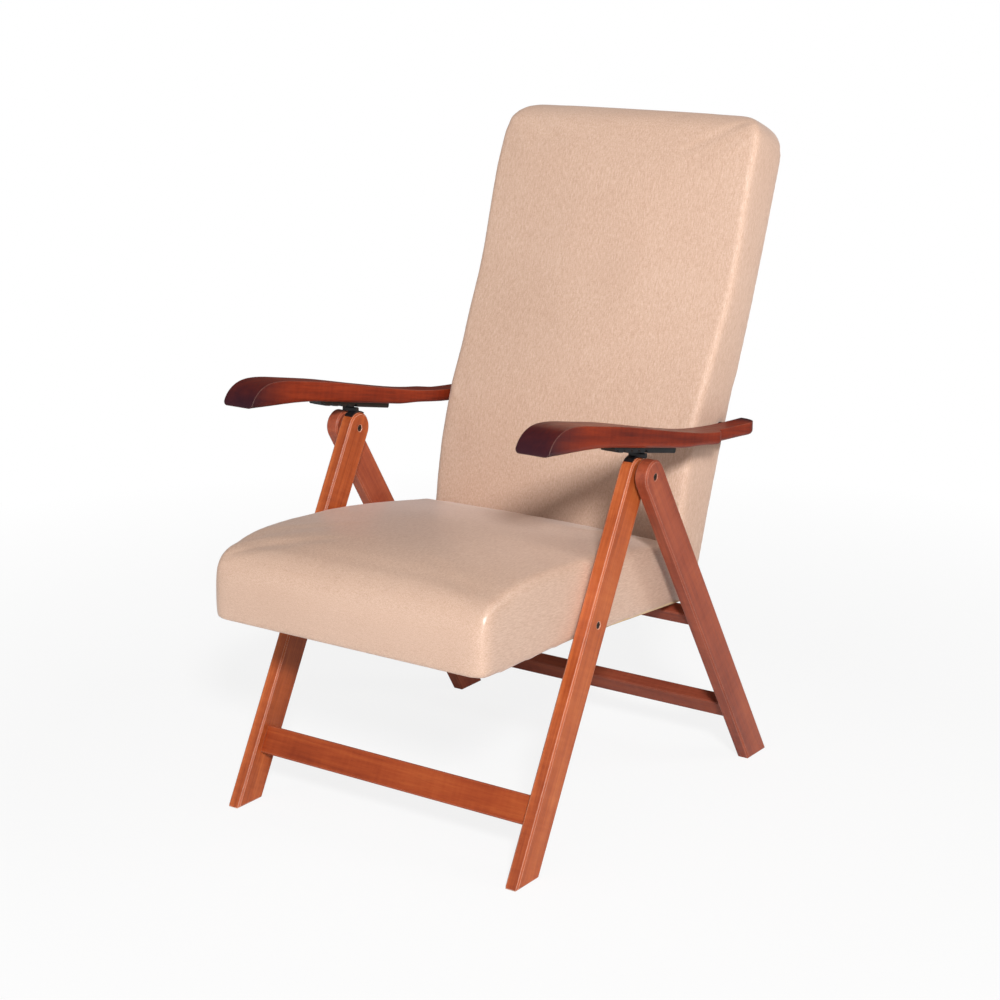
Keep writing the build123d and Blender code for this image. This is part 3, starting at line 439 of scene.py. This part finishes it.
def closed_skin(name, nodes, voxel):
    """Even mesh of the outside of several nodes together, with what they enclose left out."""
    gathered = bmesh.new()
    for node in nodes:
        gathered.from_mesh(frame["nodes"][node].data)
    mesh = bpy.data.meshes.new(name)
    gathered.to_mesh(mesh)
    gathered.free()
    piece = bpy.data.objects.new(name, mesh)
    bpy.context.scene.collection.objects.link(piece)
    remesh = piece.modifiers.new("remesh", "REMESH")
    remesh.mode = "VOXEL"
    remesh.voxel_size = voxel
    apply_modifiers(piece)
    shells = bmesh.new()
    shells.from_mesh(piece.data)
    shells.verts.ensure_lookup_table()
    unseen = set(shells.verts)
    largest = []
    while unseen:
        first = unseen.pop()
        group, border = [first], [first]
        while border:
            vertex = border.pop()
            for link in vertex.link_edges:
                other = link.other_vert(vertex)
                if other in unseen:
                    unseen.discard(other)
                    group.append(other)
                    border.append(other)
        if len(group) > len(largest):
            largest = group
    keep = set(largest)
    enclosed = [vertex for vertex in shells.verts if vertex not in keep]
    bmesh.ops.delete(shells, geom=enclosed, context="VERTS")
    shells.to_mesh(piece.data)
    shells.free()
    return piece


def soften(piece, rounds):
    smooth = piece.modifiers.new("soften", "SMOOTH")
    smooth.factor = 0.5
    smooth.iterations = rounds
    apply_modifiers(piece)


# The cloth starts 5 mm inside the skin's shape, and no point moves more than 22 mm from there.
SHRINK, MOST_MOVE = 5 * MM, 22 * MM
FIRST_ROUNDS, LAST_ROUNDS = 6, 3
HELD_BELOW = 0.02
TINY = 1e-9
CLOTH_FRAMES, CLOTH_QUALITY = 20, 4
CLOTH_MASS, STRETCH_STIFFNESS, SHEAR_STIFFNESS, BEND_STIFFNESS = 0.4, 18, 6, 1.5
CLOTH_PRESSURE = 4.0


def inflate(piece, free, follow):
    """Cloth under pressure, held where free is near 0; the skin follows it part of the way."""
    rest = read(piece.data, "co")
    start = rest - read(piece.data, "normal") * (SHRINK * free)[:, None]
    write_points(piece.data, start)
    pins = piece.vertex_groups.new(name="held")
    for index in np.flatnonzero(free < HELD_BELOW):
        pins.add([int(index)], 1.0, "REPLACE")
    cloth = piece.modifiers.new("cloth", "CLOTH")
    settings = cloth.settings
    settings.quality = CLOTH_QUALITY
    settings.mass = CLOTH_MASS
    settings.tension_stiffness = STRETCH_STIFFNESS
    settings.compression_stiffness = STRETCH_STIFFNESS
    settings.shear_stiffness = SHEAR_STIFFNESS
    settings.bending_stiffness = BEND_STIFFNESS
    settings.use_pressure = True
    settings.uniform_pressure_force = CLOTH_PRESSURE
    settings.effector_weights.gravity = 0
    settings.vertex_group_mass = "held"
    cloth.point_cache.frame_start = 1
    cloth.point_cache.frame_end = CLOTH_FRAMES
    for number in range(1, CLOTH_FRAMES + 1):
        bpy.context.scene.frame_set(number)
    apply_modifiers(piece)
    bpy.context.scene.frame_set(1)
    moved = read(piece.data, "co") - start
    length = np.linalg.norm(moved, axis=1)
    moved *= (np.minimum(length, MOST_MOVE) / np.maximum(length, TINY))[:, None]
    swollen = start + moved * free[:, None]
    write_points(piece.data, rest + (swollen - rest) * follow)


def finish_pad(piece, body, nodes, material):
    soften(piece, LAST_ROUNDS)
    refine = piece.modifiers.new("refine", "SUBSURF")
    refine.levels = 1
    refine.render_levels = 1
    apply_modifiers(piece)
    piece.data.polygons.foreach_set("use_smooth", np.ones(len(piece.data.polygons), dtype=bool))
    piece.data.materials.clear()
    piece.data.materials.append(material)
    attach(piece, body)
    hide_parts(*nodes)


VOXEL = 5 * MM

# Seat: drawn down and forward at the front and down at the rear, as the photograph shows it
SEAT_FRONT = cad_box[0][1]
SEAT_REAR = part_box("seat_cushion")[1][1]
UNDER_FRONT = 0.335  # height that parts underside and upper side, at the seat's front
UPPER_RISE = 0.11
NOSE_DROP, UNDER_DROP, NOSE_RISE, REAR_DROP = 11.5 * MM, 2 * MM, 6.5 * MM, 12 * MM
NOSE_AHEAD = 6.2 * MM
SEAT_HALF_WIDE = 249.5 * MM
SIDE_START, SIDE_FULL = 1 * MM, 20 * MM
REAR_HELD, REAR_FIRM = 60 * MM, 20 * MM
# How far a face looks outwards where the cloth starts to move, and where it is free; for the nose,
# how far it looks forward, and how far up
TOWARDS = (0.15, 0.75)
NOSE_TOWARDS, NOSE_FACING = (0.5, 0.9), (-0.6, -0.1)
SEAT_FOLLOW, BACK_FOLLOW = 0.3, 0.4
SEAT_NODES = (
    "seat_cushion", "seat_side_rail_left", "seat_side_rail_right", "seat_front_rail",
    "seat_rear_rail", "seat_dust_cover")
seat_pad = closed_skin("seat_upholstery", SEAT_NODES, VOXEL)
soften(seat_pad, FIRST_ROUNDS)
points = read(seat_pad.data, "co")
normals = read(seat_pad.data, "normal")
ahead = ease(points[:, 1], seat_pivot.y, SEAT_FRONT)
behind = ease(points[:, 1], seat_pivot.y, SEAT_REAR)
underside = UNDER_FRONT - (points[:, 1] - SEAT_FRONT) * math.tan(SEAT_TILT)
upper = ease(points[:, 2], underside, underside + UPPER_RISE)
below_rise = -NOSE_DROP * ahead - UNDER_DROP * (1 - behind)
points[:, 2] += (1 - upper) * below_rise + upper * (NOSE_RISE * ahead - REAR_DROP * behind)
points[:, 1] -= NOSE_AHEAD * ahead
write_points(seat_pad.data, points)
seat_up = np.array([0, math.sin(SEAT_TILT), math.cos(SEAT_TILT)])
facing = normals @ seat_up
rear_held = ease(points[:, 1], SEAT_REAR - REAR_HELD, SEAT_REAR - REAR_FIRM)
top_free = ease(facing, *TOWARDS) * (1 - rear_held)
nose_free = ease(-normals[:, 1], *NOSE_TOWARDS) * ease(facing, *NOSE_FACING)
nose_free = nose_free * (points[:, 1] < seat_pivot.y)
inside = ease(SEAT_HALF_WIDE - np.abs(points[:, 0]), SIDE_START, SIDE_FULL)
free = np.maximum(top_free, nose_free) * inside
inflate(seat_pad, free, SEAT_FOLLOW)
finish_pad(seat_pad, "seat", ("seat_cushion", "seat_dust_cover"), seat_fabric)

# Back: drawn down at the top, as the photograph shows it, with the rear panel proud of the cover
CROWN_START, CROWN_FULL = 0.1, 0.74  # heights above the hinge, along the back
CROWN_DROP = 9 * MM
PANEL_PROUD = 1.8 * MM
REARWARD = (0.6, 0.9)
BACK_HALF_WIDE = 246 * MM
FOOT_HELD, FOOT_FREE = 0.06, 0.14
BACK_NODES = (
    "back_cushion", "back_side_rail_left", "back_side_rail_right", "back_bottom_rail",
    "back_top_rail", "back_rear_panel")
back_pad = closed_skin("back_upholstery", BACK_NODES, VOXEL)
soften(back_pad, FIRST_ROUNDS)
points = read(back_pad.data, "co")
normals = read(back_pad.data, "normal")
back_up = np.array([0, math.sin(BACK_LEAN), math.cos(BACK_LEAN)])
back_fore = np.array([0, -math.cos(BACK_LEAN), math.sin(BACK_LEAN)])
from_hinge = points - np.array(back_hinge)
height = from_hinge @ back_up
crown = ease(height, CROWN_START, CROWN_FULL)
points -= np.outer(CROWN_DROP * crown, back_up)
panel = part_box("back_rear_panel")
rearward = ease(-(normals @ back_fore), *REARWARD)
over_panel = rearward * (np.abs(points[:, 0]) < panel[1][0])
over_panel = over_panel * (points[:, 2] > panel[0][2]) * (points[:, 2] < panel[1][2])
points += np.outer(PANEL_PROUD * over_panel, back_fore)
write_points(back_pad.data, points)
free = ease(normals @ back_fore, *TOWARDS) * ease(height, FOOT_HELD, FOOT_FREE)
free *= ease(BACK_HALF_WIDE - np.abs(points[:, 0]), SIDE_START, SIDE_FULL)
inflate(back_pad, free, BACK_FOLLOW)
finish_pad(back_pad, "back", ("back_cushion",), back_fabric)

# Floor: pale, and to the camera nearly white, fully so beyond 2 m; it keeps the chair's shadow
FLOOR_SIZE = 12
FLOOR_GREY = 0.92
WHITE_NEAR, WHITE_FAR = 0.8, 2.0
WHITE_SHARE = 0.85
bpy.ops.mesh.primitive_plane_add(size=FLOOR_SIZE, location=(0, 0, 0))
floor = bpy.context.object
floor.name = "floor"
floor_shader = Shader("studio_floor")
floor_shader.set(Base_Color=(FLOOR_GREY,) * 3, Roughness=0.6)
floor_shader.surface.inputs["Specular IOR Level"].default_value = 0.1
glow = floor_shader.add("Emission", Strength=1.0)
rays = floor_shader.add("LightPath")
reach = floor_shader.add("VectorMath", operation="LENGTH")
floor_shader.link(floor_shader.add("TexCoord").outputs["Object"], reach.inputs[0])
white_share = floor_shader.span(reach.outputs["Value"], WHITE_NEAR, WHITE_FAR, WHITE_SHARE, 1.0)
share = floor_shader.math("MULTIPLY", rays.outputs["Is Camera Ray"], white_share)
blend_node = floor_shader.add("MixShader")
floor_shader.link(share, blend_node.inputs[0])
floor_shader.link(floor_shader.surface.outputs[0], blend_node.inputs[1])
floor_shader.link(glow.outputs[0], blend_node.inputs[2])
floor_output = floor_shader.tree.nodes["Material Output"]
floor_shader.link(blend_node.outputs[0], floor_output.inputs["Surface"])
floor.data.materials.append(floor_shader.material)

# World: soft light that is stronger from the front, behind a backdrop that the camera sees white
REAR_LIGHT_AT, FRONT_LIGHT_AT = 0.45, -0.5
REAR_LIGHT, FRONT_LIGHT = 0.09, 0.27
world = bpy.data.worlds.new("studio")
bpy.context.scene.world = world
world.use_nodes = True
world_nodes = world.node_tree.nodes
world_link = world.node_tree.links.new
world_light = world_nodes["Background"]
world_light.inputs["Color"].default_value = (1, 0.985, 0.97, 1)
heading = world_nodes.new("ShaderNodeSeparateXYZ")
world_link(world_nodes.new("ShaderNodeTexCoord").outputs["Generated"], heading.inputs[0])
front_bright = world_nodes.new("ShaderNodeMapRange")
set_range(front_bright, FRONT_LIGHT_AT, REAR_LIGHT_AT, FRONT_LIGHT, REAR_LIGHT)
world_link(heading.outputs["Y"], front_bright.inputs["Value"])
world_link(front_bright.outputs["Result"], world_light.inputs["Strength"])
white = world_nodes.new("ShaderNodeBackground")
white.inputs["Color"].default_value = (1, 1, 1, 1)
white.inputs["Strength"].default_value = 1.0
world_rays = world_nodes.new("ShaderNodeLightPath")
world_seen = world_nodes.new("ShaderNodeMath")
world_seen.operation = "MAXIMUM"
world_link(world_rays.outputs["Is Camera Ray"], world_seen.inputs[0])
world_link(world_rays.outputs["Is Transmission Ray"], world_seen.inputs[1])
world_mix = world_nodes.new("ShaderNodeMixShader")
world_link(world_seen.outputs[0], world_mix.inputs[0])
world_link(world_light.outputs[0], world_mix.inputs[1])
world_link(white.outputs[0], world_mix.inputs[2])
world_link(world_mix.outputs[0], world_nodes["World Output"].inputs["Surface"])


# Lamps
def softbox(name, place, aim, size, power, spread=180):
    """Square area lamp aimed at a place, with its power in watts and its spread in degrees."""
    lamp = bpy.data.lights.new(name, "AREA")
    lamp.shape = "SQUARE"
    lamp.size = size
    lamp.energy = power
    lamp.spread = math.radians(spread)
    holder = bpy.data.objects.new(name, lamp)
    bpy.context.scene.collection.objects.link(holder)
    holder.location = place
    holder.rotation_euler = (Vector(aim) - Vector(place)).to_track_quat("-Z", "Y").to_euler()


# The main lamp stands to the right and throws the near arm's shadow on the back
CHAIR_MIDDLE = (0, 0, 0.55)
softbox("key_lamp", place=(3.39, -4.11, 3.27), aim=(0.1, 0.1, 0.55), size=0.7, power=352)
softbox("top_lamp", place=(0, -0.8, 3.0), aim=(0, -0.1, 0.4), size=1.6, power=5)
softbox("fill_lamp", place=(-1.6, -3.0, 1.2), aim=CHAIR_MIDDLE, size=1.6, power=6)
softbox(
    "side_lamp", place=(2.1, 0.75, 1.7), aim=(0.2, 0.3, 0.85), size=0.9, power=2.2, spread=60)

# Camera, solved from the photograph
AZIMUTH = math.radians(34.78)
ELEVATION = math.radians(15.056)
LENS, SENSOR = 78.74, 36  # millimetres
CAMERA_PLACE = (1.8805, -2.7408, 1.3439)
away = Vector((
    math.sin(AZIMUTH) * math.cos(ELEVATION),
    -math.cos(AZIMUTH) * math.cos(ELEVATION),
    math.sin(ELEVATION)))
camera_data = bpy.data.cameras.new("camera")
camera_data.lens = LENS
camera_data.sensor_width = SENSOR
camera = bpy.data.objects.new("camera", camera_data)
bpy.context.scene.collection.objects.link(camera)
camera.location = CAMERA_PLACE
camera.rotation_euler = (-away).to_track_quat("-Z", "Y").to_euler()
bpy.context.scene.camera = camera
bpy.context.scene.view_settings.view_transform = "Standard"
